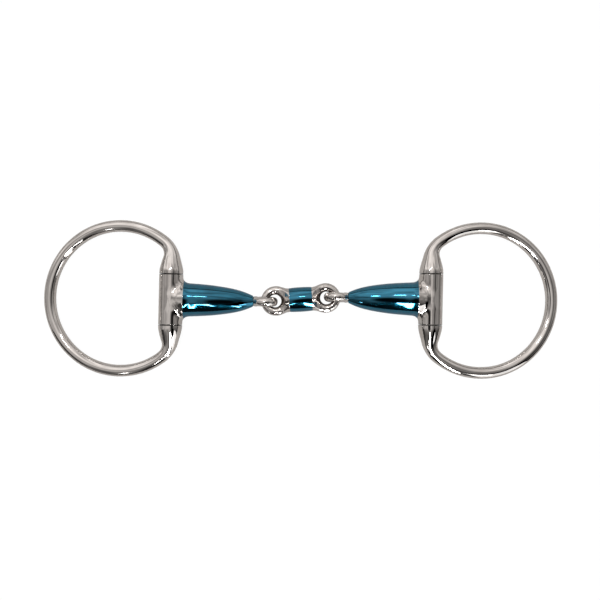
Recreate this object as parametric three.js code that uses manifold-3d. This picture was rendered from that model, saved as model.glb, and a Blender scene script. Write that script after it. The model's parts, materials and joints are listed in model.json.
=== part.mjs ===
// A double-jointed eggbutt snaffle bit lying on a flat surface, in millimetres.
// +X runs along the mouthpiece, +Y across it in the plane of the rings, +Z up.
// The origin is under the middle of the centre link, on the surface the bit lies on.
// One side is modelled with +X pointing away from the link; the other side is the
// same side turned half a turn about Z.

import * as THREE from "three";
import { mergeVertices } from "three/addons/utils/BufferGeometryUtils.js";
import Module from "manifold-3d";

const wasm = await Module();
wasm.setup();

// Clearance between pieces that meet.
const GAP = 0.3;

// How far a cutting shape or a buried end runs past the face it has to clear.
const OVERRUN = 1;
const WEDGE_OVERRUN = 0.1;

// Centre link: two eyes lying flat, with a round core and a sleeve between them.
const LINK_EYE_X = 13.5;
const LINK_EYE_RADIUS = 5.75;
const LINK_BAR_RADIUS = 2.25;
const LINK_SLEEVE_HALF = 6.1;
const LINK_SLEEVE_MIDDLE_RADIUS = 6.67;
const LINK_SLEEVE_END_RADIUS = 6.42;
const LINK_CORE_RADIUS = 3.5;
const LINK_SHOULDER_RADIUS = 6.3;
const LINK_SHOULDER_END_X = 10;

// Cannon: distances are measured from the barrel's axis towards the link.
const CANNON_LENGTH = 50.7;
const SLEEVE_START = 7;
const SLEEVE_END = 44.1;
const SLEEVE_OUTLINE = [
  [SLEEVE_START, 9.4],
  [9.5, 9.0],
  [15, 8.68],
  [22, 8.15],
  [30, 7.1],
  [36, 5.9],
  [40.5, 4.5],
  [SLEEVE_END, 2.95],
];
const COLLAR_OUTLINE = [
  [0, 6.0],
  [3.2, 6.8],
  [5.2, 8.2],
  [SLEEVE_START - GAP, SLEEVE_OUTLINE[0][1]],
];
const CORE_RADIUS = 4.2;
const CORE_TAPER_START = 28;
const CORE_TIP_RADIUS = 2.25;
const CANNON_EYE_RADIUS = 4.75;
const CANNON_EYE_THICK = 2.0;
const CANNON_EYE_WIDE = 2.3;
const CANNON_EYE_ROLL = THREE.MathUtils.degToRad(4);

// Barrel at the outer end of the cannon, and the pin that it turns on.
const BARREL_RADIUS = 6.38;
const HORN_FACE = 13.85;
const BARREL_HALF = HORN_FACE - GAP;
const PIN_RADIUS = 2.5;
const PIN_HALF = 20.5;
const PIN_CHAMFER = 0.4;

// Cheek ring: a round bar bent to a circle, with a horn at each end that flares to
// the barrel's radius.
const RING_BAR_RADIUS = 3.15;
const RING_RADIUS = 39.1;
const RING_CENTRE_X = 28.1;
const RING_BEND_RADIUS = 11;
const RING_BAR_START = 17;
const HORN_OUTLINE = [
  [HORN_FACE, BARREL_RADIUS],
  [16.5, 6.2],
  [19.5, 5.5],
  [23, 4.45],
  [26.6, 3.1],
  [29, 1.5],
  [30.2, 0],
];

// At rest the link lies a little askew, the cannons slope down towards it, and the
// rings slope down to the surface.
const LINK_YAW = THREE.MathUtils.degToRad(3.4);
const LINK_HEIGHT = LINK_SLEEVE_MIDDLE_RADIUS;

// Facets.
const ROUND_SIDES = 28;
const PIN_SIDES = 16;
const EYE_STEPS = 24;
const BAR_SIDES = 12;
const RING_STEPS = 61;
const OUTLINE_STEPS = 12;
const LINK_SLEEVE_STEPS = 6;
const MERGE_DISTANCE = 1e-4;

const STEEL = { color: 0x9c9692, roughness: 0.14, metalness: 1 };
const PIN_STEEL = { color: 0x8a8683, roughness: 0.3, metalness: 1 };
const BLUE = { color: 0x1f6a84, roughness: 0.2, metalness: 1 };

// ---- joining and cutting ----

function toSolid(geometry) {
  const flat = geometry.index ? geometry.toNonIndexed() : geometry;
  const bare = new THREE.BufferGeometry();
  bare.setAttribute("position", flat.getAttribute("position"));
  const merged = mergeVertices(bare, MERGE_DISTANCE);
  const corners = merged.index.array;
  const triangles = [];
  for (let i = 0; i < corners.length; i += 3) {
    const [a, b, c] = corners.slice(i, i + 3);
    if (a !== b && b !== c && c !== a) triangles.push(a, b, c);
  }
  return new wasm.Manifold(
    new wasm.Mesh({
      numProp: 3,
      vertProperties: merged.getAttribute("position").array,
      triVerts: new Uint32Array(triangles),
    }),
  );
}

function toMesh(solid, name, finish) {
  const made = solid.getMesh();
  const geometry = new THREE.BufferGeometry();
  geometry.setAttribute("position", new THREE.BufferAttribute(made.vertProperties, 3));
  geometry.setIndex(new THREE.BufferAttribute(made.triVerts, 1));
  geometry.computeVertexNormals();
  const mesh = new THREE.Mesh(geometry, new THREE.MeshStandardMaterial(finish));
  mesh.name = name;
  return mesh;
}

// ---- basic shapes ----

// A solid of revolution about the Y axis, from [height, radius] pairs that start and
// end on the axis or close on themselves.
function turned(outline, sides = ROUND_SIDES) {
  const points = outline.map(([height, radius]) => new THREE.Vector2(radius, height));
  return new THREE.LatheGeometry(points, sides);
}

// A smooth outline through a few [height, radius] points.
function smooth(points, steps = OUTLINE_STEPS) {
  const curve = new THREE.SplineCurve(points.map(([h, r]) => new THREE.Vector2(h, r)));
  return curve.getPoints(steps).map((p) => [p.x, p.y]);
}

// The same solid of revolution, turned to lie along X.
function alongX(outline, sides) {
  return turned(outline, sides).rotateZ(-Math.PI / 2);
}

function rod(radius, from, to, sides) {
  return turned([[from, 0], [from, radius], [to, radius], [to, 0]], sides);
}

// A ring of oval section about the Y axis.
function eyeRing(radius, thick, wide) {
  const outline = [];
  for (let i = 0; i <= BAR_SIDES; i++) {
    const angle = ((i % BAR_SIDES) / BAR_SIDES) * 2 * Math.PI;
    outline.push([wide * Math.sin(angle), radius + thick * Math.cos(angle)]);
  }
  return turned(outline, EYE_STEPS);
}

// A curve in the XY plane as a curve in space.
class FlatCurve extends THREE.Curve {
  constructor(path) {
    super();
    this.path = path;
  }

  getPoint(t, target = new THREE.Vector3()) {
    const point = this.path.getPointAt(t);
    return target.set(point.x, point.y, 0);
  }
}

// ---- centre link ----

// The shoulder between an eye and the sleeve: a round bar cut to a wedge that thins
// from the sleeve's thickness to the eye's.
function linkShoulder() {
  const start = LINK_SLEEVE_HALF + GAP;
  const bar = alongX([
    [start, 0],
    [start, LINK_SHOULDER_RADIUS],
    [LINK_SHOULDER_END_X, LINK_SHOULDER_RADIUS],
    [LINK_SHOULDER_END_X, 0],
  ]);
  const side = new THREE.Shape();
  const end = LINK_SHOULDER_END_X + WEDGE_OVERRUN;
  side.moveTo(start - OVERRUN, -LINK_SHOULDER_RADIUS - OVERRUN);
  side.lineTo(start, -LINK_SHOULDER_RADIUS);
  side.lineTo(end, -LINK_BAR_RADIUS);
  side.lineTo(end, LINK_BAR_RADIUS);
  side.lineTo(start, LINK_SHOULDER_RADIUS);
  side.lineTo(start - OVERRUN, LINK_SHOULDER_RADIUS + OVERRUN);
  const depth = 4 * LINK_SHOULDER_RADIUS;
  const wedge = new THREE.ExtrudeGeometry(side, { depth, bevelEnabled: false });
  wedge.translate(0, 0, -depth / 2).rotateX(Math.PI / 2);
  return toSolid(bar).intersect(toSolid(wedge));
}

function linkEnd() {
  const eye = eyeRing(LINK_EYE_RADIUS, LINK_BAR_RADIUS, LINK_BAR_RADIUS);
  eye.rotateX(Math.PI / 2).translate(LINK_EYE_X, 0, 0);
  const holeRadius = LINK_EYE_RADIUS - LINK_BAR_RADIUS / 2;
  const hole = rod(holeRadius, -LINK_EYE_X, LINK_EYE_X, EYE_STEPS);
  hole.rotateX(Math.PI / 2).translate(LINK_EYE_X, 0, 0);
  return linkShoulder().subtract(toSolid(hole)).add(toSolid(eye));
}

function linkCore() {
  const reach = LINK_SLEEVE_HALF + OVERRUN;
  const core = alongX([
    [-reach, 0],
    [-reach, LINK_CORE_RADIUS],
    [reach, LINK_CORE_RADIUS],
    [reach, 0],
  ]);
  const end = linkEnd();
  return toSolid(core).add(end).add(end.rotate([0, 0, 180]));
}

function linkSleeve() {
  const bore = LINK_CORE_RADIUS + GAP;
  const bulge = LINK_SLEEVE_MIDDLE_RADIUS - LINK_SLEEVE_END_RADIUS;
  const outline = [[-LINK_SLEEVE_HALF, bore]];
  for (let i = 0; i <= LINK_SLEEVE_STEPS; i++) {
    const share = (2 * i) / LINK_SLEEVE_STEPS - 1;
    outline.push([share * LINK_SLEEVE_HALF, LINK_SLEEVE_MIDDLE_RADIUS - bulge * share * share]);
  }
  outline.push([LINK_SLEEVE_HALF, bore]);
  outline.push([-LINK_SLEEVE_HALF, bore]);
  return toSolid(alongX(outline));
}

// ---- cannon ----
// Modelled with the barrel's axis on Y and the eye towards -X.

function cannonCollar() {
  const outside = COLLAR_OUTLINE.map(([along, radius]) => [-along, radius]);
  return alongX([[-SLEEVE_START + GAP, 0], ...outside.reverse(), [0, 0]]);
}

function cannonRod() {
  const tip = CANNON_LENGTH - CANNON_EYE_RADIUS;
  return alongX([
    [-tip, 0],
    [-tip, CORE_TIP_RADIUS],
    [-SLEEVE_END, CORE_TIP_RADIUS],
    [-CORE_TAPER_START, CORE_RADIUS],
    [0, CORE_RADIUS],
    [0, 0],
  ]);
}

function cannonCore() {
  const eye = eyeRing(CANNON_EYE_RADIUS, CANNON_EYE_THICK, CANNON_EYE_WIDE);
  eye.rotateX(-CANNON_EYE_ROLL).translate(-CANNON_LENGTH, 0, 0);
  const bore = rod(PIN_RADIUS + GAP, -HORN_FACE - OVERRUN, HORN_FACE + OVERRUN);
  return toSolid(rod(BARREL_RADIUS, -BARREL_HALF, BARREL_HALF))
    .add(toSolid(cannonCollar()))
    .add(toSolid(cannonRod()))
    .add(toSolid(eye))
    .subtract(toSolid(bore));
}

function cannonSleeve() {
  const outside = smooth(SLEEVE_OUTLINE).map(([along, radius]) => [-along, radius]);
  const coreSlope = (CORE_RADIUS - CORE_TIP_RADIUS) / (SLEEVE_END - CORE_TAPER_START);
  const boreTip = CORE_TIP_RADIUS + GAP;
  const outline = [
    ...outside.reverse(),
    [-SLEEVE_START, CORE_RADIUS + GAP],
    [-CORE_TAPER_START + coreSlope * GAP, CORE_RADIUS + GAP],
    [-SLEEVE_END, boreTip],
    [-SLEEVE_END, SLEEVE_OUTLINE.at(-1)[1]],
  ];
  return toSolid(alongX(outline));
}

// ---- hinge pin ----

function hingePin() {
  const straight = PIN_HALF - PIN_CHAMFER;
  return toSolid(
    turned(
      [
        [-PIN_HALF, 0],
        [-PIN_HALF, PIN_RADIUS - PIN_CHAMFER],
        [-straight, PIN_RADIUS],
        [straight, PIN_RADIUS],
        [PIN_HALF, PIN_RADIUS - PIN_CHAMFER],
        [PIN_HALF, 0],
      ],
      PIN_SIDES,
    ),
  );
}

// ---- cheek ring ----
// Modelled with the barrel's axis on Y and the ring towards +X.

function ringPath() {
  const bendX = RING_BEND_RADIUS;
  const bendY = Math.sqrt(
    (RING_RADIUS - RING_BEND_RADIUS) ** 2 - (RING_CENTRE_X - RING_BEND_RADIUS) ** 2,
  );
  const meet = Math.atan2(bendY, bendX - RING_CENTRE_X);
  const path = new THREE.Path();
  path.moveTo(0, RING_BAR_START);
  path.lineTo(0, bendY);
  path.absarc(bendX, bendY, RING_BEND_RADIUS, Math.PI, meet, true);
  path.absarc(RING_CENTRE_X, 0, RING_RADIUS, meet, -meet, true);
  path.absarc(bendX, -bendY, RING_BEND_RADIUS, -meet, -Math.PI, true);
  path.lineTo(0, -RING_BAR_START);
  return new FlatCurve(path);
}

// A polygon for the bar's round section, with one flat facing the middle of the ring.
function barSection() {
  const section = new THREE.Shape();
  for (let i = 0; i < BAR_SIDES; i++) {
    const angle = ((i + 0.5) / BAR_SIDES) * 2 * Math.PI;
    const x = RING_BAR_RADIUS * Math.cos(angle);
    const y = RING_BAR_RADIUS * Math.sin(angle);
    if (i === 0) section.moveTo(x, y);
    else section.lineTo(x, y);
  }
  return section;
}

function cheekRing() {
  const bar = new THREE.ExtrudeGeometry(barSection(), {
    steps: RING_STEPS,
    extrudePath: ringPath(),
    bevelEnabled: false,
  });
  const horn = turned([[HORN_FACE, 0], ...HORN_OUTLINE]);
  const socket = rod(PIN_RADIUS + GAP, HORN_FACE - OVERRUN, PIN_HALF + GAP);
  const upper = toSolid(horn);
  const upperSocket = toSolid(socket);
  return toSolid(bar)
    .add(upper)
    .add(upper.rotate([180, 0, 0]))
    .subtract(upperSocket)
    .subtract(upperSocket.rotate([180, 0, 0]));
}

// ---- one side, and the whole bit ----

function side(name) {
  const sleeveSlope = (SLEEVE_OUTLINE[0][1] - LINK_HEIGHT) / (CANNON_LENGTH - SLEEVE_START);
  const cannonPitch = Math.asin(sleeveSlope);
  const barrelHeight = LINK_HEIGHT + CANNON_LENGTH * Math.sin(cannonPitch);
  const ringSlope = (barrelHeight - RING_BAR_RADIUS) / (RING_CENTRE_X + RING_RADIUS);
  const ringPitch = Math.asin(ringSlope);
  const jointX = (LINK_EYE_X + LINK_EYE_RADIUS) * Math.cos(LINK_YAW);
  const jointY = (LINK_EYE_X + LINK_EYE_RADIUS) * Math.sin(LINK_YAW);
  const reach = CANNON_LENGTH * Math.cos(cannonPitch);
  const yaw = -Math.asin(jointY / reach);

  const cannon = new THREE.Group();
  cannon.rotation.y = -cannonPitch;
  cannon.add(
    toMesh(cannonCore(), name + "_cannon_core", STEEL),
    toMesh(cannonSleeve(), name + "_cannon_sleeve", BLUE),
  );
  const ring = new THREE.Group();
  ring.rotation.y = ringPitch;
  ring.add(
    toMesh(cheekRing(), name + "_cheek_ring", STEEL),
    toMesh(hingePin(), name + "_hinge_pin", PIN_STEEL),
  );
  const whole = new THREE.Group();
  whole.position.set(jointX + reach * Math.cos(yaw), 0, barrelHeight);
  whole.rotation.z = yaw;
  whole.add(cannon, ring);
  return whole;
}

const link = new THREE.Group();
link.position.z = LINK_HEIGHT;
link.rotation.z = LINK_YAW;
link.add(
  toMesh(linkCore(), "link_core", STEEL),
  toMesh(linkSleeve(), "link_sleeve", BLUE),
);

const leftSide = new THREE.Group();
leftSide.rotation.z = Math.PI;
leftSide.add(side("left"));

const bit = new THREE.Group();
bit.add(link, side("right"), leftSide);

export default bit;
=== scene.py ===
"""A double-jointed eggbutt snaffle bit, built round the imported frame. Lengths inside the shape functions
are in millimetres, in each piece's own axes; new_piece() turns them into metres in the row frame."""

import json
import math

import bpy
import numpy as np
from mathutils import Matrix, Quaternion, Vector

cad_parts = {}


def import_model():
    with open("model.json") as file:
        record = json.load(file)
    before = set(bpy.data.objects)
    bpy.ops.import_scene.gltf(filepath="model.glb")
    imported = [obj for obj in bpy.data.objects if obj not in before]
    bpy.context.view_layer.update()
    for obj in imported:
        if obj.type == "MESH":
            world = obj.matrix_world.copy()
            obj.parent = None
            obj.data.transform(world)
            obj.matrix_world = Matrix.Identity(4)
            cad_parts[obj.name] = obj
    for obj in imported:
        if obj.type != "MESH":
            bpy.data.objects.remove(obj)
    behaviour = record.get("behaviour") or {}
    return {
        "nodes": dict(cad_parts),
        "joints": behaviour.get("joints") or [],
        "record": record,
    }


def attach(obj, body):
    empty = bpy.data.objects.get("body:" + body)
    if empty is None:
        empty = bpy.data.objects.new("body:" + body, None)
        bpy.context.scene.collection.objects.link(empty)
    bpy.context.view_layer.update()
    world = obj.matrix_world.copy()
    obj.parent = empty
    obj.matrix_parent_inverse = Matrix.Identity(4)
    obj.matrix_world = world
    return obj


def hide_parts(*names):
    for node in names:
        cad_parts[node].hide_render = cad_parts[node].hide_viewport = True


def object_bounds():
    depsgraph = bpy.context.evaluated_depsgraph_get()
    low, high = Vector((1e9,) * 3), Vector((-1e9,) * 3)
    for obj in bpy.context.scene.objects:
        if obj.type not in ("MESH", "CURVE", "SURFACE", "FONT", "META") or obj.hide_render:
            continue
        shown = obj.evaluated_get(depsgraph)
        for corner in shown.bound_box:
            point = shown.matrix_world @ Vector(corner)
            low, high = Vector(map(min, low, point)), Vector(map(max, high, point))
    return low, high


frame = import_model()
cad_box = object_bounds()

# ---- driving dimensions, in millimetres ----

MM = 0.001

LINK_EYE_X = 13.5
LINK_EYE_RADIUS = 5.75
LINK_BAR_RADIUS = 2.25
LINK_SLEEVE_HALF = 6.1
LINK_SLEEVE_MIDDLE_RADIUS = 6.67
LINK_SLEEVE_END_RADIUS = 6.42
LINK_CORE_RADIUS = 3.5
LINK_SHOULDER_END_X = 11.5
LINK_SHOULDER_END_HALF = 1.0
LINK_SHOULDER_CURVE = 0.8
LINK_SHOULDER_STEP = 0.04
LINK_SHOULDER_EDGE = 1.0
LINK_SHOULDER_FILLET = 2.4
LINK_HOLE_X = 13.9
LINK_HOLE_RADIUS = 3.4
LINK_HOLE_FLARE = 0.6
LINK_HOLE_FLAT_HALF = 0.3
LINK_HOLE_EDGE = 0.4

SLEEVE_START = 7.0
SLEEVE_END = 44.1
SLEEVE_OUTLINE = [
    (SLEEVE_START, 9.4), (9.5, 9.0), (15, 8.68), (22, 8.15),
    (30, 7.1), (36, 5.9), (40.5, 4.5), (SLEEVE_END, 2.95),
]
CORE_RADIUS = 4.2
CORE_TAPER_START = 28.0
CORE_TIP_RADIUS = 2.25
CANNON_EYE_RADIUS = 4.75
CANNON_EYE_THICK = 2.0
CANNON_EYE_WIDE = 2.38
CANNON_EYE_ROLL = math.radians(4)
CANNON_EYE_FILLET = 1.8
NECK_RADIUS = 2.6

# Where a sleeve lies over its core: the core's inset, the length it fades in over, how far each runs on
# under the sleeve, and the sleeve's bore clearance and bevelled rim.
CORE_INSET = 0.18
INSET_FADE = 0.25
CANNON_UNDERLAP = 0.6
LINK_UNDERLAP = 0.5
SLEEVE_CLEARANCE = 0.1
SLEEVE_RIM = 0.07

BARREL_RADIUS = 6.38
BARREL_RIM = 0.15
BARREL_FILLET = 4.5
COLLAR_START = 0.5
COLLAR_START_RADIUS = 5.2
COLLAR_CURVE = 0.8
HORN_FACE = 13.85
HORN_RIM = 0.1
BARREL_HALF = 13.55
PIN_RADIUS = 2.5
PIN_CLEARANCE = 0.3
PIN_SOCKET_DEPTH = 7.0

RING_BAR_RADIUS = 3.15
RING_RADIUS = 39.1
RING_CENTRE_X = 28.1
RING_BEND_RADIUS = 11.0
HORN_OUTLINE = [
    (HORN_FACE, BARREL_RADIUS), (16.0, 6.25), (18.5, 5.7), (21.0, 5.0),
    (23.5, 4.3), (26.5, 3.65), (30.0, 3.25), (34.0, RING_BAR_RADIUS),
]

# Faces painted near-black as the shade in the gaps at the barrel's ends: how far they reach past the
# barrel's end, the horn's face and the barrel's side.
SEAM_BARREL_REACH = 0.22
SEAM_HORN_REACH = 0.2
SEAM_SIDE_REACH = 0.5

# ---- fineness of the meshes ----

CELL = 0.33
LINK_CELL = CELL * 0.8
CANNON_BOX = ((-58.7, -14.7, -10.7), (7.4, 14.7, 10.7))
LINK_BOX = ((-22.5, -9, -7.7), (22.5, 9, 7.7))
PULL_STEPS = 5
HALVINGS = 30
OUTLINE_SAMPLES = 400
SLEEVE_SIDES = 128
CANNON_SLEEVE_ROWS = 150
LINK_SLEEVE_ROWS = 50
BORE_ROW_STEP = 6
RING_SIDES = 64
RING_SECTIONS = 420

# A distance that changes faster than one in one is scaled by these where a surface slopes.
CANNON_SLOPE = 0.9
EYE_BORE_SLOPE = 0.9
SHOULDER_SLOPE = 0.75
TINY = 1e-9

# ---- places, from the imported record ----

record = frame["record"]
joints = {j["name"]: j for j in frame["joints"]}
mounts = {m["name"]: m for m in record["mounts"]}


def unit(v):
    v = np.asarray(v, float)
    return v / np.linalg.norm(v)


def axes(origin, along, across):
    """A 4x4 placement in metres for a shape in millimetres: X along, Y as near across as it can be."""
    x = unit(along)
    z = unit(np.cross(x, across))
    y = np.cross(z, x)
    m = np.eye(4)
    m[:3, 0], m[:3, 1], m[:3, 2] = x * MM, y * MM, z * MM
    m[:3, 3] = origin
    return m


def side_places(side):
    """Placements of one side's cannon and ring, with +X away from the link."""
    fold = np.array(joints[f"{side}_fold"]["pos_m"])
    swivel = joints[f"{side}_ring_swivel"]
    barrel = np.array(swivel["pos_m"])
    across = np.array(swivel["axis"])
    outwards = -np.array(mounts[f"{side}_rein_seat"]["axis"])
    return {
        "cannon": axes(barrel, barrel - fold, across),
        "ring": axes(barrel, outwards, across),
        "length": np.linalg.norm(barrel - fold) / MM,
    }


right_fold = np.array(joints["right_fold"]["pos_m"])
link_place = axes((0, 0, right_fold[2]), (right_fold[0], right_fold[1], 0), (0, 1, 0))
places = {side: side_places(side) for side in ("left", "right")}
CANNON_LENGTH = places["right"]["length"]

# ---- distance functions ----


def smooth_union(a, b, width):
    """Both shapes as one, with a fillet of about the given width where they meet."""
    h = np.maximum(width - np.abs(a - b), 0) / width
    return np.minimum(a, b) - h * h * h * width / 6


def smooth_cut(a, b, width):
    """Shape a without shape b, with an eased edge of about the given width."""
    return -smooth_union(-a, b, width)


def rod_distance(p, axis, centre, radius, half, rounding=0.0):
    """A round bar along one axis, with rounded rims."""
    q = p - np.asarray(centre, float)
    along = np.abs(q[:, axis]) - (half - rounding)
    across = np.linalg.norm(np.delete(q, axis, axis=1), axis=1) - (radius - rounding)
    outside = np.hypot(np.maximum(along, 0), np.maximum(across, 0))
    return outside + np.minimum(np.maximum(along, across), 0) - rounding


def catmull(points, t):
    """The uniform Catmull-Rom curve that the CAD outlines use, at t from 0 to 1."""
    pts = np.asarray(points, float)
    last = len(pts) - 1
    s = np.clip(np.asarray(t) * last, 0, last)
    i = np.minimum(s.astype(int), last - 1)
    w = (s - i)[:, None]
    p0 = pts[np.where(i == 0, i, i - 1)]
    p1, p2 = pts[i], pts[i + 1]
    p3 = pts[np.where(i > last - 2, last, i + 2)]
    v0, v1 = (p2 - p0) / 2, (p3 - p1) / 2
    return (2 * p1 - 2 * p2 + v0 + v1) * w**3 + (-3 * p1 + 3 * p2 - 2 * v0 - v1) * w**2 + v0 * w + p1


def outline_radius(points, along):
    """The outline's radius at each distance along."""
    curve = catmull(points, np.linspace(0, 1, OUTLINE_SAMPLES))
    return np.interp(along, curve[:, 0], curve[:, 1])


# ---- meshing ----


def gradient(f, p, step=0.01):
    """The slope of f at each point, by central differences."""
    g = np.empty_like(p)
    for axis in range(3):
        d = np.zeros(3)
        d[axis] = step
        g[:, axis] = (f(p + d) - f(p - d)) / (2 * step)
    return g


def surface_net(f, low, high, cell):
    """Quads on the surface f = 0, with each vertex pulled onto it, and the surface normals."""
    low = np.asarray(low, float)
    counts = np.ceil((np.asarray(high, float) - low) / cell).astype(int) + 1
    ticks = [low[a] + cell * np.arange(counts[a]) for a in range(3)]
    grid = np.stack(np.meshgrid(*ticks, indexing="ij"), -1)
    value = f(grid.reshape(-1, 3)).reshape(counts)
    inside = value < 0
    corners = [(i, j, k) for i in (0, 1) for j in (0, 1) for k in (0, 1)]

    def corner(a, c):
        return a[tuple(slice(c[n], counts[n] - 1 + c[n]) for n in range(3))]

    held = sum(corner(inside, c).astype(np.int8) for c in corners)
    active = np.argwhere((held > 0) & (held < 8))
    number = -np.ones(counts - 1, int)
    number[tuple(active.T)] = np.arange(len(active))
    total = np.zeros((len(active), 3))
    hits = np.zeros(len(active))
    for a in corners:
        for axis in range(3):
            if a[axis]:
                continue
            b = tuple(a[n] + (n == axis) for n in range(3))
            va = value[tuple((active + a).T)]
            vb = value[tuple((active + b).T)]
            cross = (va < 0) != (vb < 0)
            share = np.where(cross, va / np.where(cross, va - vb, 1), 0)
            point = np.array(a) + share[:, None] * (np.array(b) - a)
            total += np.where(cross[:, None], point, 0)
            hits += cross
    vertices = low + cell * (active + total / hits[:, None])
    quads = []
    for axis in range(3):
        u, v = (axis + 1) % 3, (axis + 2) % 3
        ahead = np.zeros(3, int)
        ahead[axis] = 1
        shape = counts - ahead
        start = inside[tuple(slice(0, shape[n]) for n in range(3))]
        end = inside[tuple(slice(ahead[n], ahead[n] + shape[n]) for n in range(3))]
        where = np.argwhere(start != end)
        where = where[(where[:, u] > 0) & (where[:, v] > 0)]
        where = where[(where[:, u] < counts[u] - 1) & (where[:, v] < counts[v] - 1)]
        eu, ev = np.zeros(3, int), np.zeros(3, int)
        eu[u], ev[v] = 1, 1
        ring = [where - eu - ev, where - ev, where, where - eu]
        quad = np.stack([number[tuple(c.T)] for c in ring], 1)
        outward = start[tuple(where.T)]
        quads.append(np.where(outward[:, None], quad, quad[:, ::-1]))
    for _ in range(PULL_STEPS):
        g = gradient(f, vertices)
        step = f(vertices) / np.maximum((g * g).sum(1), TINY)
        vertices -= g * np.clip(step, -cell / 2, cell / 2)[:, None]
    normals = gradient(f, vertices)
    normals /= np.maximum(np.linalg.norm(normals, axis=1), TINY)[:, None]
    return vertices, np.concatenate(quads), normals


def grid_faces(rows, columns, close_rows=False):
    """Quads of a grid that closes on itself along its columns, and along its rows if asked."""
    r = np.arange(rows if close_rows else rows - 1)
    c = np.arange(columns)
    a = r[:, None] * columns + c
    b = r[:, None] * columns + (c + 1) % columns
    d = ((r[:, None] + 1) % rows) * columns + c
    e = ((r[:, None] + 1) % rows) * columns + (c + 1) % columns
    return np.stack([a, d, e, b], -1).reshape(-1, 4)


def new_piece(name, shape, place, material):
    """A mesh object from a shape's millimetre vertices, faces and normals, placed in the row frame."""
    vertices, faces, normals = shape
    moved = np.asarray(vertices) @ place[:3, :3].T + place[:3, 3]
    mesh = bpy.data.meshes.new(name)
    mesh.from_pydata(moved.tolist(), [], [list(map(int, f)) for f in faces])
    mesh.validate()
    mesh.polygons.foreach_set("use_smooth", [True] * len(mesh.polygons))
    turned = normals @ place[:3, :3].T
    turned /= np.linalg.norm(turned, axis=1)[:, None]
    mesh.normals_split_custom_set_from_vertices(turned.tolist())
    mesh.update()
    piece = bpy.data.objects.new(name, mesh)
    bpy.context.scene.collection.objects.link(piece)
    piece.data.materials.append(material)
    return piece


# ---- materials ----


def node_material(name):
    """A new material with its node tree and its Principled shader."""
    material = bpy.data.materials.new(name)
    material.use_nodes = True
    tree = material.node_tree
    return material, tree, tree.nodes["Principled BSDF"]


def noise(tree, scale, detail=3.0, stretch=None):
    """Noise in object coordinates, stretched along one axis if asked."""
    place = tree.nodes.new("ShaderNodeTexCoord")
    source = place.outputs["Object"]
    if stretch:
        mapping = tree.nodes.new("ShaderNodeMapping")
        mapping.inputs["Scale"].default_value = stretch
        tree.links.new(source, mapping.inputs["Vector"])
        source = mapping.outputs["Vector"]
    node = tree.nodes.new("ShaderNodeTexNoise")
    node.inputs["Scale"].default_value = scale
    node.inputs["Detail"].default_value = detail
    tree.links.new(source, node.inputs["Vector"])
    return node.outputs["Fac"]


def ramp(tree, source, low, high, from_value, to_value):
    """Maps source from low..high to from_value..to_value."""
    node = tree.nodes.new("ShaderNodeMapRange")
    node.inputs["From Min"].default_value = low
    node.inputs["From Max"].default_value = high
    node.inputs["To Min"].default_value = from_value
    node.inputs["To Max"].default_value = to_value
    tree.links.new(source, node.inputs["Value"])
    return node.outputs["Result"]


def maths(tree, operation, a, b):
    """One Math node. Each of a and b is a number or a socket."""
    node = tree.nodes.new("ShaderNodeMath")
    node.operation = operation
    for socket, value in zip(node.inputs, (a, b)):
        if isinstance(value, (int, float)):
            socket.default_value = value
        else:
            tree.links.new(value, socket)
    return node.outputs["Value"]


def blend_colour(tree, factor, a, b):
    """Colour a where the factor is 0, and colour b where it is 1."""
    node = tree.nodes.new("ShaderNodeMix")
    node.data_type = "RGBA"
    node.inputs["A"].default_value = (*a, 1)
    node.inputs["B"].default_value = (*b, 1)
    tree.links.new(factor, node.inputs["Factor"])
    return node.outputs["Result"]


def bumps(tree, shader, layers):
    """Adds bump layers of (height, distance in metres) one over another."""
    normal = None
    for height, distance in layers:
        node = tree.nodes.new("ShaderNodeBump")
        node.inputs["Strength"].default_value = 1.0
        node.inputs["Distance"].default_value = distance
        tree.links.new(height, node.inputs["Height"])
        if normal is not None:
            tree.links.new(normal, node.inputs["Normal"])
        normal = node.outputs["Normal"]
    tree.links.new(normal, shader.inputs["Normal"])


CLOUD_SCALE = 90
SMEAR_SCALE = 500
SMEAR_STRETCH = (1, 1, 0.35)
SCRATCH_SCALE = 2600
SCRATCH_STRETCH = (0.12, 1, 1)
SCRATCH_DEPTH = 0.0000006
WAVE_SCALE = 110
WAVE_DEPTH = 0.00005
COAT_ROUGHNESS = 0.03


def polished_metal(name, dark, light, rough, coat=0.0, edge=None):
    """Hand-polished metal: a faint cloudiness, fine scratches and a slightly wavy surface."""
    material, tree, shader = node_material(name)
    shader.inputs["Metallic"].default_value = 1.0
    cloud = noise(tree, CLOUD_SCALE, 4)
    colour = blend_colour(tree, ramp(tree, cloud, 0.35, 0.65, 0, 1), dark, light)
    tree.links.new(colour, shader.inputs["Base Color"])
    smear = noise(tree, SMEAR_SCALE, 5, SMEAR_STRETCH)
    tree.links.new(ramp(tree, smear, 0.3, 0.75, *rough), shader.inputs["Roughness"])
    scratches = noise(tree, SCRATCH_SCALE, 2, SCRATCH_STRETCH)
    wave = noise(tree, WAVE_SCALE, 1)
    bumps(tree, shader, [(wave, WAVE_DEPTH), (scratches, SCRATCH_DEPTH)])
    if edge:
        shader.inputs["Specular Tint"].default_value = (*edge, 1)
    if coat:
        shader.inputs["Coat Weight"].default_value = coat
        shader.inputs["Coat Roughness"].default_value = COAT_ROUGHNESS
    return material


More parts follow.
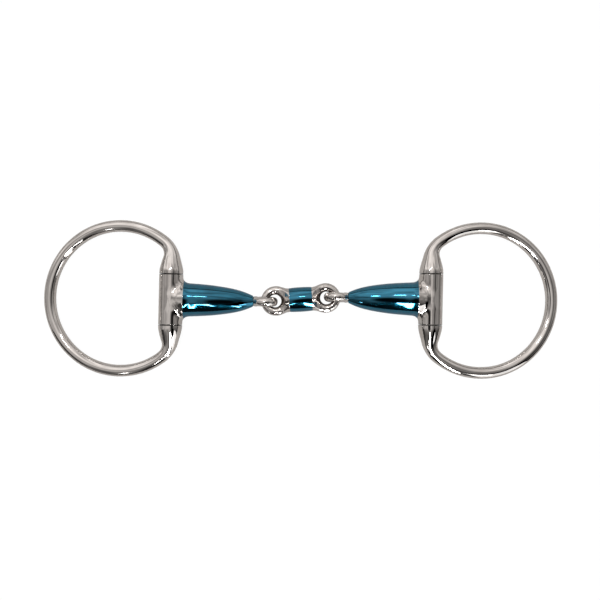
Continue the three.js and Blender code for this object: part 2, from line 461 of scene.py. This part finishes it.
steel = polished_metal("polished_steel", (0.56, 0.53, 0.51), (0.66, 0.635, 0.615), (0.05, 0.12))
blue = polished_metal("blue_metal", (0.004, 0.115, 0.190), (0.007, 0.148, 0.240), (0.05, 0.10),
                      coat=0.8, edge=(0.20, 0.50, 0.62))
# Near-black steel: painted shade for the gaps between each barrel and its ring's horns.
seam_shade_steel = polished_metal("seam_shade_steel", (0.03, 0.028, 0.026), (0.08, 0.075, 0.07), (0.45, 0.7))
pin_steel = polished_metal("pin_steel", (0.42, 0.41, 0.40), (0.52, 0.51, 0.50), (0.25, 0.4))

# ---- the cannon ----


def cannon_outside(p):
    """Barrel, collar and cannon as one smooth body. The barrel's axis is Y and the eye is towards -X."""
    barrel = rod_distance(p, 1, (0, 0, 0), BARREL_RADIUS, BARREL_HALF, BARREL_RIM)
    radial = np.hypot(p[:, 1], p[:, 2])
    along = -p[:, 0]
    collar_end_radius = SLEEVE_OUTLINE[0][1]
    share = np.clip((along - COLLAR_START) / (SLEEVE_START - COLLAR_START), 0, 1)
    collar = COLLAR_START_RADIUS + (collar_end_radius - COLLAR_START_RADIUS) * share ** COLLAR_CURVE
    radius = np.where(along < SLEEVE_START, collar, outline_radius(SLEEVE_OUTLINE, along))
    body = np.maximum((radial - radius) * CANNON_SLOPE, -along)
    return smooth_union(barrel, body, BARREL_FILLET)


def eye_distance(p):
    """The cannon's eye: a ring of oval section standing upright, rolled a little round the cannon."""
    q = p + (CANNON_LENGTH, 0, 0)
    c, s = math.cos(CANNON_EYE_ROLL), math.sin(CANNON_EYE_ROLL)
    y = c * q[:, 1] - s * q[:, 2]
    z = s * q[:, 1] + c * q[:, 2]
    ring = np.hypot(q[:, 0], z) - CANNON_EYE_RADIUS
    oval = np.hypot(ring / CANNON_EYE_THICK, y / CANNON_EYE_WIDE)
    slope = np.hypot(ring / CANNON_EYE_THICK**2, y / CANNON_EYE_WIDE**2)
    return oval * (oval - 1) / np.maximum(slope, 1e-6)


def cannon_core(p):
    """The steel of the cannon. Under the sleeve it narrows to a rod."""
    along = -p[:, 0]
    under = np.clip((along - SLEEVE_START) / INSET_FADE, 0, 1)
    butt = np.maximum(cannon_outside(p) + CORE_INSET * under, along - (SLEEVE_START + CANNON_UNDERLAP))
    reach = CANNON_LENGTH - CANNON_EYE_RADIUS
    rod = np.hypot(p[:, 1], p[:, 2]) - core_radius(along)
    rod = np.maximum(rod, np.abs(along - reach / 2) - reach / 2)
    whole = np.minimum(butt, smooth_union(rod, eye_distance(p), CANNON_EYE_FILLET))
    bore = np.hypot(p[:, 0], p[:, 2]) - (PIN_RADIUS + PIN_CLEARANCE)
    return np.maximum(whole, -bore)


def radius_where(f, along, angles, guess):
    """Radii at which f = 0, on the grid of distances along -X and angles round it."""
    a, t = np.meshgrid(along, angles, indexing="ij")
    low = np.full(a.shape, 0.5)
    high = guess[:, None] + np.full(a.shape, 2.5)
    for _ in range(HALVINGS):
        middle = (low + high) / 2
        p = np.stack([-a, middle * np.cos(t), middle * np.sin(t)], -1).reshape(-1, 3)
        held = f(p).reshape(a.shape) < 0
        low = np.where(held, middle, low)
        high = np.where(held, high, middle)
    return (low + high) / 2


def sleeve_mesh(along, outer, bore, angles, surface):
    """A closed shell of revolution about X, with its outward normals taken from the surface function."""
    around = np.stack([np.zeros(len(angles)), np.cos(angles), np.sin(angles)], 1)

    def row(x, radius):
        return np.array([-x, 0, 0]) + np.asarray(radius).reshape(-1, 1) * around

    skin = np.concatenate([row(x, r) for x, r in zip(along, outer)])
    count = len(angles)
    start = np.tile((1.0, 0, 0), (count, 1))
    end = -start
    rows = [row(along[0], outer[0] - SLEEVE_RIM), skin, row(along[-1], outer[-1] - SLEEVE_RIM)]
    slope = gradient(surface, skin)
    slope /= np.linalg.norm(slope, axis=1)[:, None]
    normals = [start, slope, end]
    rows[0] += (SLEEVE_RIM, 0, 0)
    rows[2] -= (SLEEVE_RIM, 0, 0)
    ends = (along[-1] + SLEEVE_RIM, along[0] - SLEEVE_RIM)
    middle = along[::-1][1:-1:BORE_ROW_STEP]
    for x in (ends[0], *middle, ends[1]):
        rows.append(row(x, bore(x)))
    normals += [end] + [-around] * len(middle) + [start]
    vertices = np.concatenate(rows)
    return vertices, grid_faces(len(vertices) // count, count, close_rows=True), np.concatenate(normals)


def core_radius(along):
    """The core rod under the cannon's sleeve, and the neck beyond it."""
    return np.interp(along, (CORE_TAPER_START, SLEEVE_END, SLEEVE_END + INSET_FADE, CANNON_LENGTH),
                     (CORE_RADIUS, CORE_TIP_RADIUS, NECK_RADIUS, NECK_RADIUS))


def cannon_bore(x):
    return core_radius(min(x, SLEEVE_END)) + SLEEVE_CLEARANCE


def cannon_sleeve():
    angles = np.linspace(0, 2 * math.pi, SLEEVE_SIDES, endpoint=False)
    along = np.linspace(SLEEVE_START + SLEEVE_RIM, SLEEVE_END - SLEEVE_RIM, CANNON_SLEEVE_ROWS)
    outer = radius_where(cannon_outside, along, angles, outline_radius(SLEEVE_OUTLINE, along))
    return sleeve_mesh(along, outer, cannon_bore, angles, cannon_outside)


# ---- the centre link ----


def link_eye(p):
    """An eye, its shoulder and half the core, on the +X side."""
    q = p - (LINK_EYE_X, 0, 0)
    ring = np.hypot(q[:, 0], q[:, 1]) - LINK_EYE_RADIUS
    eye = np.hypot(np.where(ring < 0, ring * EYE_BORE_SLOPE, ring), q[:, 2]) - LINK_BAR_RADIUS
    start = LINK_SLEEVE_HALF - LINK_UNDERLAP
    share = np.clip((p[:, 0] - LINK_SLEEVE_HALF) / (LINK_SHOULDER_END_X - LINK_SLEEVE_HALF), 0, 1)
    narrowing = LINK_SHOULDER_END_HALF - LINK_SLEEVE_END_RADIUS
    thick = LINK_SLEEVE_END_RADIUS + narrowing * share**LINK_SHOULDER_CURVE
    inset = CORE_INSET * np.clip((LINK_SLEEVE_HALF - p[:, 0]) / INSET_FADE, 0, 1)
    bar = np.hypot(p[:, 1], p[:, 2]) - (LINK_SLEEVE_END_RADIUS - LINK_SHOULDER_STEP) + inset
    wedge = (np.abs(p[:, 2]) - thick) * SHOULDER_SLOPE
    shoulder = smooth_cut(bar, -wedge, LINK_SHOULDER_EDGE)
    shoulder = np.maximum(shoulder, np.maximum(start - p[:, 0], p[:, 0] - LINK_SHOULDER_END_X))
    whole = smooth_union(eye, shoulder, LINK_SHOULDER_FILLET)
    hole = np.hypot(p[:, 0] - LINK_HOLE_X, p[:, 1]) - LINK_HOLE_RADIUS
    funnel = hole - LINK_HOLE_FLARE * np.maximum(np.abs(p[:, 2]) - LINK_HOLE_FLAT_HALF, 0)
    whole = smooth_cut(whole, funnel, LINK_HOLE_EDGE)
    return np.maximum(whole, start - p[:, 0])


def link_core(p):
    """The link's steel: an eye and shoulder at each end, and the rod that joins them."""
    mirrored = np.abs(p[:, 0])[:, None] * (1, 0, 0) + p * (0, 1, 1)
    rod = np.hypot(p[:, 1], p[:, 2]) - LINK_CORE_RADIUS
    rod = np.maximum(rod, np.abs(p[:, 0]) - LINK_SLEEVE_HALF)
    return np.minimum(link_eye(mirrored), rod)


def link_outside(p):
    """The outside of the link's sleeve, a little fuller in the middle."""
    bulge = LINK_SLEEVE_MIDDLE_RADIUS - LINK_SLEEVE_END_RADIUS
    radius = LINK_SLEEVE_MIDDLE_RADIUS - bulge * (p[:, 0] / LINK_SLEEVE_HALF) ** 2
    return np.hypot(p[:, 1], p[:, 2]) - radius


def link_bore(_):
    return LINK_CORE_RADIUS + SLEEVE_CLEARANCE


def link_sleeve():
    angles = np.linspace(0, 2 * math.pi, SLEEVE_SIDES, endpoint=False)
    half = LINK_SLEEVE_HALF - SLEEVE_RIM
    along = np.linspace(-half, half, LINK_SLEEVE_ROWS)
    guess = np.full(LINK_SLEEVE_ROWS, LINK_SLEEVE_MIDDLE_RADIUS)
    outer = radius_where(link_outside, along, angles, guess)
    return sleeve_mesh(along, outer, link_bore, angles, link_outside)


# ---- the cheek ring ----


def ring_line(count):
    """Points, directions and distances along the ring's centre line, from one horn face to the other,
    and its whole length. Each half runs straight, round a tight bend and then round the big circle."""
    bend_y = math.sqrt((RING_RADIUS - RING_BEND_RADIUS) ** 2 - (RING_CENTRE_X - RING_BEND_RADIUS) ** 2)
    meet = math.atan2(bend_y, RING_BEND_RADIUS - RING_CENTRE_X)
    straight = bend_y - HORN_FACE
    bend = RING_BEND_RADIUS * (math.pi - meet)
    around = RING_RADIUS * 2 * meet
    total = 2 * straight + 2 * bend + around
    distances = np.linspace(0, total, count)
    points = []
    directions = []
    for s in distances:
        mirror = 1
        if s > total / 2:
            s, mirror = total - s, -1
        if s < straight:
            x, y, dx, dy = 0, HORN_FACE + s, 0, 1
        elif s < straight + bend:
            angle = math.pi - (s - straight) / RING_BEND_RADIUS
            x = RING_BEND_RADIUS + RING_BEND_RADIUS * math.cos(angle)
            y = bend_y + RING_BEND_RADIUS * math.sin(angle)
            dx, dy = math.sin(angle), -math.cos(angle)
        else:
            angle = meet - (s - straight - bend) / RING_RADIUS
            x = RING_CENTRE_X + RING_RADIUS * math.cos(angle)
            y = RING_RADIUS * math.sin(angle)
            dx, dy = math.sin(angle), -math.cos(angle)
        points.append((x, mirror * y, 0))
        directions.append((mirror * dx, dy, 0) if mirror == 1 else (-dx, dy, 0))
    return np.array(points), np.array(directions), distances, total


def cheek_ring():
    """A round bar along the ring's line, which flares into the horns, with a socket in each horn face."""
    points, directions, s, total = ring_line(RING_SECTIONS)
    from_face = HORN_FACE + np.minimum(s, total - s)
    radius = np.where(from_face < HORN_OUTLINE[-1][0],
                      outline_radius(HORN_OUTLINE, from_face), RING_BAR_RADIUS)
    sideways = np.stack([directions[:, 1], -directions[:, 0], np.zeros(RING_SECTIONS)], 1)
    angles = np.linspace(0, 2 * math.pi, RING_SIDES, endpoint=False)
    up = np.array([0, 0, 1.0])
    around = [np.cos(angles)[:, None] * side + np.sin(angles)[:, None] * up for side in sideways]
    slope = np.gradient(radius, s)
    rows = []
    normals = []

    def section(i, r, shift=0.0, facing=None):
        """Adds one round of vertices. Its normals face outwards, or all one way if asked."""
        rows.append(points[i] + directions[i] * shift + r * around[i])
        if facing is None:
            normals.append(around[i] - slope[i] * directions[i])
        else:
            normals.append(np.tile(facing, (RING_SIDES, 1)))

    socket = PIN_RADIUS + PIN_CLEARANCE
    face_edge = BARREL_RADIUS - HORN_RIM
    first, last = -directions[0], directions[-1]
    section(0, socket, PIN_SOCKET_DEPTH, first)
    section(0, socket, 0, first)
    section(0, face_edge, 0, first)
    section(0, radius[0], HORN_RIM)
    for i in range(1, RING_SECTIONS - 1):
        section(i, radius[i])
    section(-1, radius[-1], -HORN_RIM)
    section(-1, face_edge, 0, last)
    section(-1, socket, 0, last)
    section(-1, socket, -PIN_SOCKET_DEPTH, last)
    vertices = np.concatenate(rows)
    faces = grid_faces(len(rows), RING_SIDES).tolist()
    faces.append(list(range(RING_SIDES)))
    faces.append(list(range(len(vertices) - 1, len(vertices) - RING_SIDES - 1, -1)))
    return vertices, faces, np.concatenate(normals)


# ---- building the pieces ----


def dress(piece, body, node):
    """Puts the piece on its body, in place of its CAD node."""
    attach(piece, body)
    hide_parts(node)


def paint_seam_shade(piece, place):
    """Gives the faces in and just beside the gaps at the barrel's ends a near-black steel: painted shade
    for the shade that falls in those gaps.
    """
    piece.data.materials.append(seam_shade_steel)
    for face in piece.data.polygons:
        offset = np.array(face.center) - place[:3, 3]
        x = abs(float(np.dot(offset, place[:3, 0] / MM**2)))
        y = abs(float(np.dot(offset, place[:3, 1] / MM**2)))
        in_gap = BARREL_HALF - SEAM_BARREL_REACH < y < HORN_FACE + SEAM_HORN_REACH
        if in_gap and x < BARREL_RADIUS + SEAM_SIDE_REACH:
            face.material_index = 1


core_shape = surface_net(cannon_core, *CANNON_BOX, CELL)
sleeve_shape = cannon_sleeve()
ring_shape = cheek_ring()
link_shape = surface_net(link_core, *LINK_BOX, LINK_CELL)
link_sleeve_shape = link_sleeve()

for side, place in places.items():
    core = new_piece(f"{side}_cannon_steel", core_shape, place["cannon"], steel)
    paint_seam_shade(core, place["cannon"])
    dress(core, f"{side}_cannon", f"{side}_cannon_core")
    sleeve = new_piece(f"{side}_cannon_blue_sleeve", sleeve_shape, place["cannon"], blue)
    dress(sleeve, f"{side}_cannon", f"{side}_cannon_sleeve")
    ring = new_piece(f"{side}_ring_steel", ring_shape, place["ring"], steel)
    paint_seam_shade(ring, place["ring"])
    dress(ring, f"{side}_ring", f"{side}_cheek_ring")
    pin = frame["nodes"][f"{side}_hinge_pin"]
    pin.data.materials.clear()
    pin.data.materials.append(pin_steel)

link_steel = new_piece("centre_link_steel", link_shape, link_place, steel)
dress(link_steel, "centre_link", "link_core")
link_blue = new_piece("centre_link_blue_sleeve", link_sleeve_shape, link_place, blue)
dress(link_blue, "centre_link", "link_sleeve")

# ---- camera, floor and light ----

FLOOR_SHARE = 0.03
FLOOR_HALF = 3.0
FLOOR_DROP = 0.0002
# The floor's colour in reflections: painted shade, much darker than the floor looks to the camera.
FLOOR_SHADE_IN_REFLECTIONS = (0.30, 0.29, 0.28)
SUN_STRENGTH = 4.4
SUN_ANGLE = math.radians(26)
CARD_SOFT_EDGE = 0.45

# The room's brightness across it, as (direction along X, tone).
ROOM_TONES = [
    (-0.85, 0.60), (-0.45, 0.62), (-0.16, 0.80), (0.05, 0.66), (0.20, 0.48),
    (0.42, 0.30), (0.58, 0.06), (0.72, 0.40), (0.95, 0.30),
]
ROOM_WARMTH = (1, 0.965, 0.94)
CLUTTER_SCALE = 3.6

CAMERA_HEIGHT = 0.42
CAMERA_OFFSET = (-0.0004, -0.0003)
SENSOR_WIDTH = 36
VIEW_WIDTH = 0.3246
LOOK_HEIGHT = float(right_fold[2])


def turned_to(obj, place, target, lean=0.0):
    """Puts an object in the scene with its +Z axis pointing away from the target, leaning if asked."""
    obj.location = place
    away = Vector(place) - Vector(target)
    facing = away.to_track_quat("Z", "Y") @ Quaternion((0, 0, 1), math.radians(lean))
    obj.rotation_euler = facing.to_euler()
    bpy.context.scene.collection.objects.link(obj)


def place_camera():
    """A camera straight above the bit, which sees VIEW_WIDTH metres across at the joints' height."""
    camera = bpy.data.objects.new("camera", bpy.data.cameras.new("camera"))
    camera.location = (*CAMERA_OFFSET, CAMERA_HEIGHT + LOOK_HEIGHT)
    camera.data.sensor_width = SENSOR_WIDTH
    camera.data.lens = SENSOR_WIDTH * CAMERA_HEIGHT / VIEW_WIDTH
    camera.data.clip_start = 0.01
    bpy.context.scene.collection.objects.link(camera)
    bpy.context.scene.camera = camera


def flat_mesh(name, half_x, half_y):
    """A rectangle on the XY plane."""
    mesh = bpy.data.meshes.new(name)
    corners = [(-half_x, -half_y, 0), (half_x, -half_y, 0), (half_x, half_y, 0), (-half_x, half_y, 0)]
    mesh.from_pydata(corners, [], [(0, 1, 2, 3)])
    return mesh


def floor():
    """A pale floor, painted darker in reflections: this stands partly for its true brightness, lower than
    the camera sees it, and partly for the shade on the floor under the bit. To the camera it is nearly
    clear from above and clear from below, so that a ring or cannon that swings below it still shows, and
    keeps its light."""
    piece = bpy.data.objects.new("floor", flat_mesh("floor", FLOOR_HALF, FLOOR_HALF))
    bpy.context.scene.collection.objects.link(piece)
    material, tree, shader = node_material("pale_floor")
    tone = blend_colour(tree, noise(tree, 8, 2), (0.91, 0.91, 0.91), (0.93, 0.93, 0.93))
    # Painted shade: glossy rays see the darker floor colour.
    mirrored = tree.nodes.new("ShaderNodeLightPath").outputs["Is Glossy Ray"]
    base = blend_colour(tree, mirrored, (1, 1, 1), FLOOR_SHADE_IN_REFLECTIONS)
    tree.links.new(tone, base.node.inputs["A"])
    tree.links.new(base, shader.inputs["Base Color"])
    shader.inputs["Roughness"].default_value = 0.8
    shader.inputs["Specular IOR Level"].default_value = 0.1
    seen = tree.nodes.new("ShaderNodeLightPath").outputs["Is Camera Ray"]
    from_below = tree.nodes.new("ShaderNodeNewGeometry").outputs["Backfacing"]
    share = ramp(tree, seen, 0, 1, 1.0, FLOOR_SHARE)
    share = maths(tree, "MULTIPLY", share, ramp(tree, from_below, 0, 1, 1, 0))
    mix = tree.nodes.new("ShaderNodeMixShader")
    tree.links.new(share, mix.inputs["Fac"])
    tree.links.new(tree.nodes.new("ShaderNodeBsdfTransparent").outputs["BSDF"], mix.inputs[1])
    tree.links.new(shader.outputs["BSDF"], mix.inputs[2])
    tree.links.new(mix.outputs["Shader"], tree.nodes["Material Output"].inputs["Surface"])
    piece.data.materials.append(material)
    piece.location.z = min(0.0, float(cad_box[0][2])) - FLOOR_DROP


def area_light(name, place, target, size, radiance, lean=0.0):
    """A rectangular light that only shows in reflections."""
    data = bpy.data.lights.new(name, "AREA")
    data.shape = "RECTANGLE"
    data.size, data.size_y = size
    data.energy = radiance * math.pi * size[0] * size[1]
    lamp = bpy.data.objects.new(name, data)
    turned_to(lamp, place, target, lean)
    lamp.visible_camera = False
    lamp.visible_diffuse = False


def soft_sun():
    """Broad, even light from straight above, which leaves next to no shadow."""
    data = bpy.data.lights.new("key", "SUN")
    data.energy = SUN_STRENGTH
    data.angle = SUN_ANGLE
    lamp = bpy.data.objects.new("key", data)
    bpy.context.scene.collection.objects.link(lamp)
    lamp.visible_camera = False
    lamp.visible_glossy = False


def dark_card(name, place, target, size, shade, soft=False):
    """A studio flag that only shows in reflections, oval with a soft edge if asked."""
    half_x, half_y = size[0] / 2, size[1] / 2
    card = bpy.data.objects.new(name, flat_mesh(name, half_x, half_y))
    turned_to(card, place, target)
    material = bpy.data.materials.new(name)
    material.use_nodes = True
    tree = material.node_tree
    tree.nodes.clear()
    glow = tree.nodes.new("ShaderNodeEmission")
    glow.inputs["Color"].default_value = (shade, shade * 0.97, shade * 0.95, 1)
    out = tree.nodes.new("ShaderNodeOutputMaterial")
    tree.links.new(glow.outputs["Emission"], out.inputs["Surface"])
    if soft:
        coordinates = tree.nodes.new("ShaderNodeTexCoord")
        mapping = tree.nodes.new("ShaderNodeMapping")
        mapping.inputs["Scale"].default_value = (1 / half_x, 1 / half_y, 1)
        tree.links.new(coordinates.outputs["Object"], mapping.inputs["Vector"])
        fade = tree.nodes.new("ShaderNodeTexGradient")
        fade.gradient_type = "SPHERICAL"
        tree.links.new(mapping.outputs["Vector"], fade.inputs["Vector"])
        mix = tree.nodes.new("ShaderNodeMixShader")
        tree.links.new(ramp(tree, fade.outputs["Fac"], 0.0, CARD_SOFT_EDGE, 0.0, 1.0), mix.inputs["Fac"])
        tree.links.new(tree.nodes.new("ShaderNodeBsdfTransparent").outputs["BSDF"], mix.inputs[1])
        tree.links.new(glow.outputs["Emission"], mix.inputs[2])
        tree.links.new(mix.outputs["Shader"], out.inputs["Surface"])
    card.data.materials.append(material)
    card.visible_camera = False
    card.visible_diffuse = False
    card.visible_shadow = False
    card.visible_transmission = False


def world():
    """The room round the studio table, lighter behind and darker on the right, with some clutter. It only
    shows in reflections: the camera sees plain white."""
    studio = bpy.data.worlds.new("studio")
    studio.use_nodes = True
    tree = studio.node_tree
    background = tree.nodes["Background"]
    coordinates = tree.nodes.new("ShaderNodeTexCoord")
    split = tree.nodes.new("ShaderNodeSeparateXYZ")
    tree.links.new(coordinates.outputs["Generated"], split.inputs["Vector"])
    x, y, z = split.outputs["X"], split.outputs["Y"], split.outputs["Z"]
    across = tree.nodes.new("ShaderNodeValToRGB")
    tree.links.new(ramp(tree, x, -1, 1, 0, 1), across.inputs["Fac"])
    stops = across.color_ramp.elements
    stops[0].position = (1 + ROOM_TONES[0][0]) / 2
    stops[1].position = (1 + ROOM_TONES[-1][0]) / 2
    for place, _ in ROOM_TONES[1:-1]:
        stops.new((1 + place) / 2)
    for stop, (_, tone) in zip(stops, ROOM_TONES):
        stop.color = (tone, tone, tone, 1)
    back_wall = ramp(tree, y, 0.08, 0.45, 0.0, 0.60)
    front_gloom = ramp(tree, y, -0.55, -0.15, 0.40, 0.0)
    above_table = ramp(tree, z, 0.05, 0.24, 0.10, 1.0)
    below_table = ramp(tree, z, -0.10, -0.02, 0.42, 0.0)
    value = maths(tree, "ADD", across.outputs["Color"], back_wall)
    value = maths(tree, "SUBTRACT", value, front_gloom)
    value = maths(tree, "MULTIPLY", value, above_table)
    value = maths(tree, "ADD", value, below_table)
    clutter = tree.nodes.new("ShaderNodeTexNoise")
    clutter.inputs["Scale"].default_value = CLUTTER_SCALE
    clutter.inputs["Detail"].default_value = 2.0
    tree.links.new(coordinates.outputs["Generated"], clutter.inputs["Vector"])
    value = maths(tree, "MULTIPLY", value, ramp(tree, clutter.outputs["Fac"], 0.36, 0.60, 0.5, 1.15))
    room = blend_colour(tree, value, (0, 0, 0), ROOM_WARMTH)
    room.node.clamp_factor = False
    seen = tree.nodes.new("ShaderNodeLightPath").outputs["Is Camera Ray"]
    plain = blend_colour(tree, seen, (0, 0, 0), (1.0, 1.0, 1.0))
    tree.links.new(room, plain.node.inputs["A"])
    tree.links.new(plain, background.inputs["Color"])
    bpy.context.scene.world = studio


place_camera()
floor()
world()
soft_sun()

# Two tall lights make each cannon's main streak, and the others make the small bright marks. The cards
# are the dark shapes: the camera, a hand, the person behind it and something to the left.
area_light("gap_right", (0.040, -0.25, 0.25), (0.040, 0, 0.25), (0.046, 0.36), 32.0, lean=12)
area_light("gap_left", (-0.034, -0.25, 0.30), (-0.034, 0, 0.30), (0.006, 0.30), 30.0, lean=-7)
area_light("right_window", (0.31, -0.35, 0.18), (0, 0, 0.10), (0.28, 0.34), 1.5)
area_light("right_pane", (0.27, -0.37, 0.31), (0, 0, 0.10), (0.12, 0.05), 7.0)
area_light("left_pane", (-0.23, -0.37, 0.26), (0, 0, 0.10), (0.04, 0.04), 12.0)
area_light("left_bulb", (-0.112, 0.143, 0.42), (-0.05, 0, 0), (0.050, 0.018), 34.0)
area_light("right_bulb", (0.0, 0.196, 0.42), (0.04, 0, 0), (0.04, 0.014), 28.0)
dark_card("camera_shade", (0.012, -0.040, 0.18), (0.012, -0.040, 0), (0.11, 0.15), 0.01, soft=True)
dark_card("hand_shade", (0.002, -0.125, 0.17), (0.002, 0, 0.17), (0.030, 0.28), 0.01)
dark_card("person_shade", (0.0, -0.28, 0.12), (0.0, 0, 0.12), (0.34, 0.90), 0.02, soft=True)
dark_card("left_shade", (-0.42, -0.20, 0.10), (0, 0, 0.10), (0.20, 0.26), 0.05)
bpy.context.scene.view_settings.view_transform = "Standard"
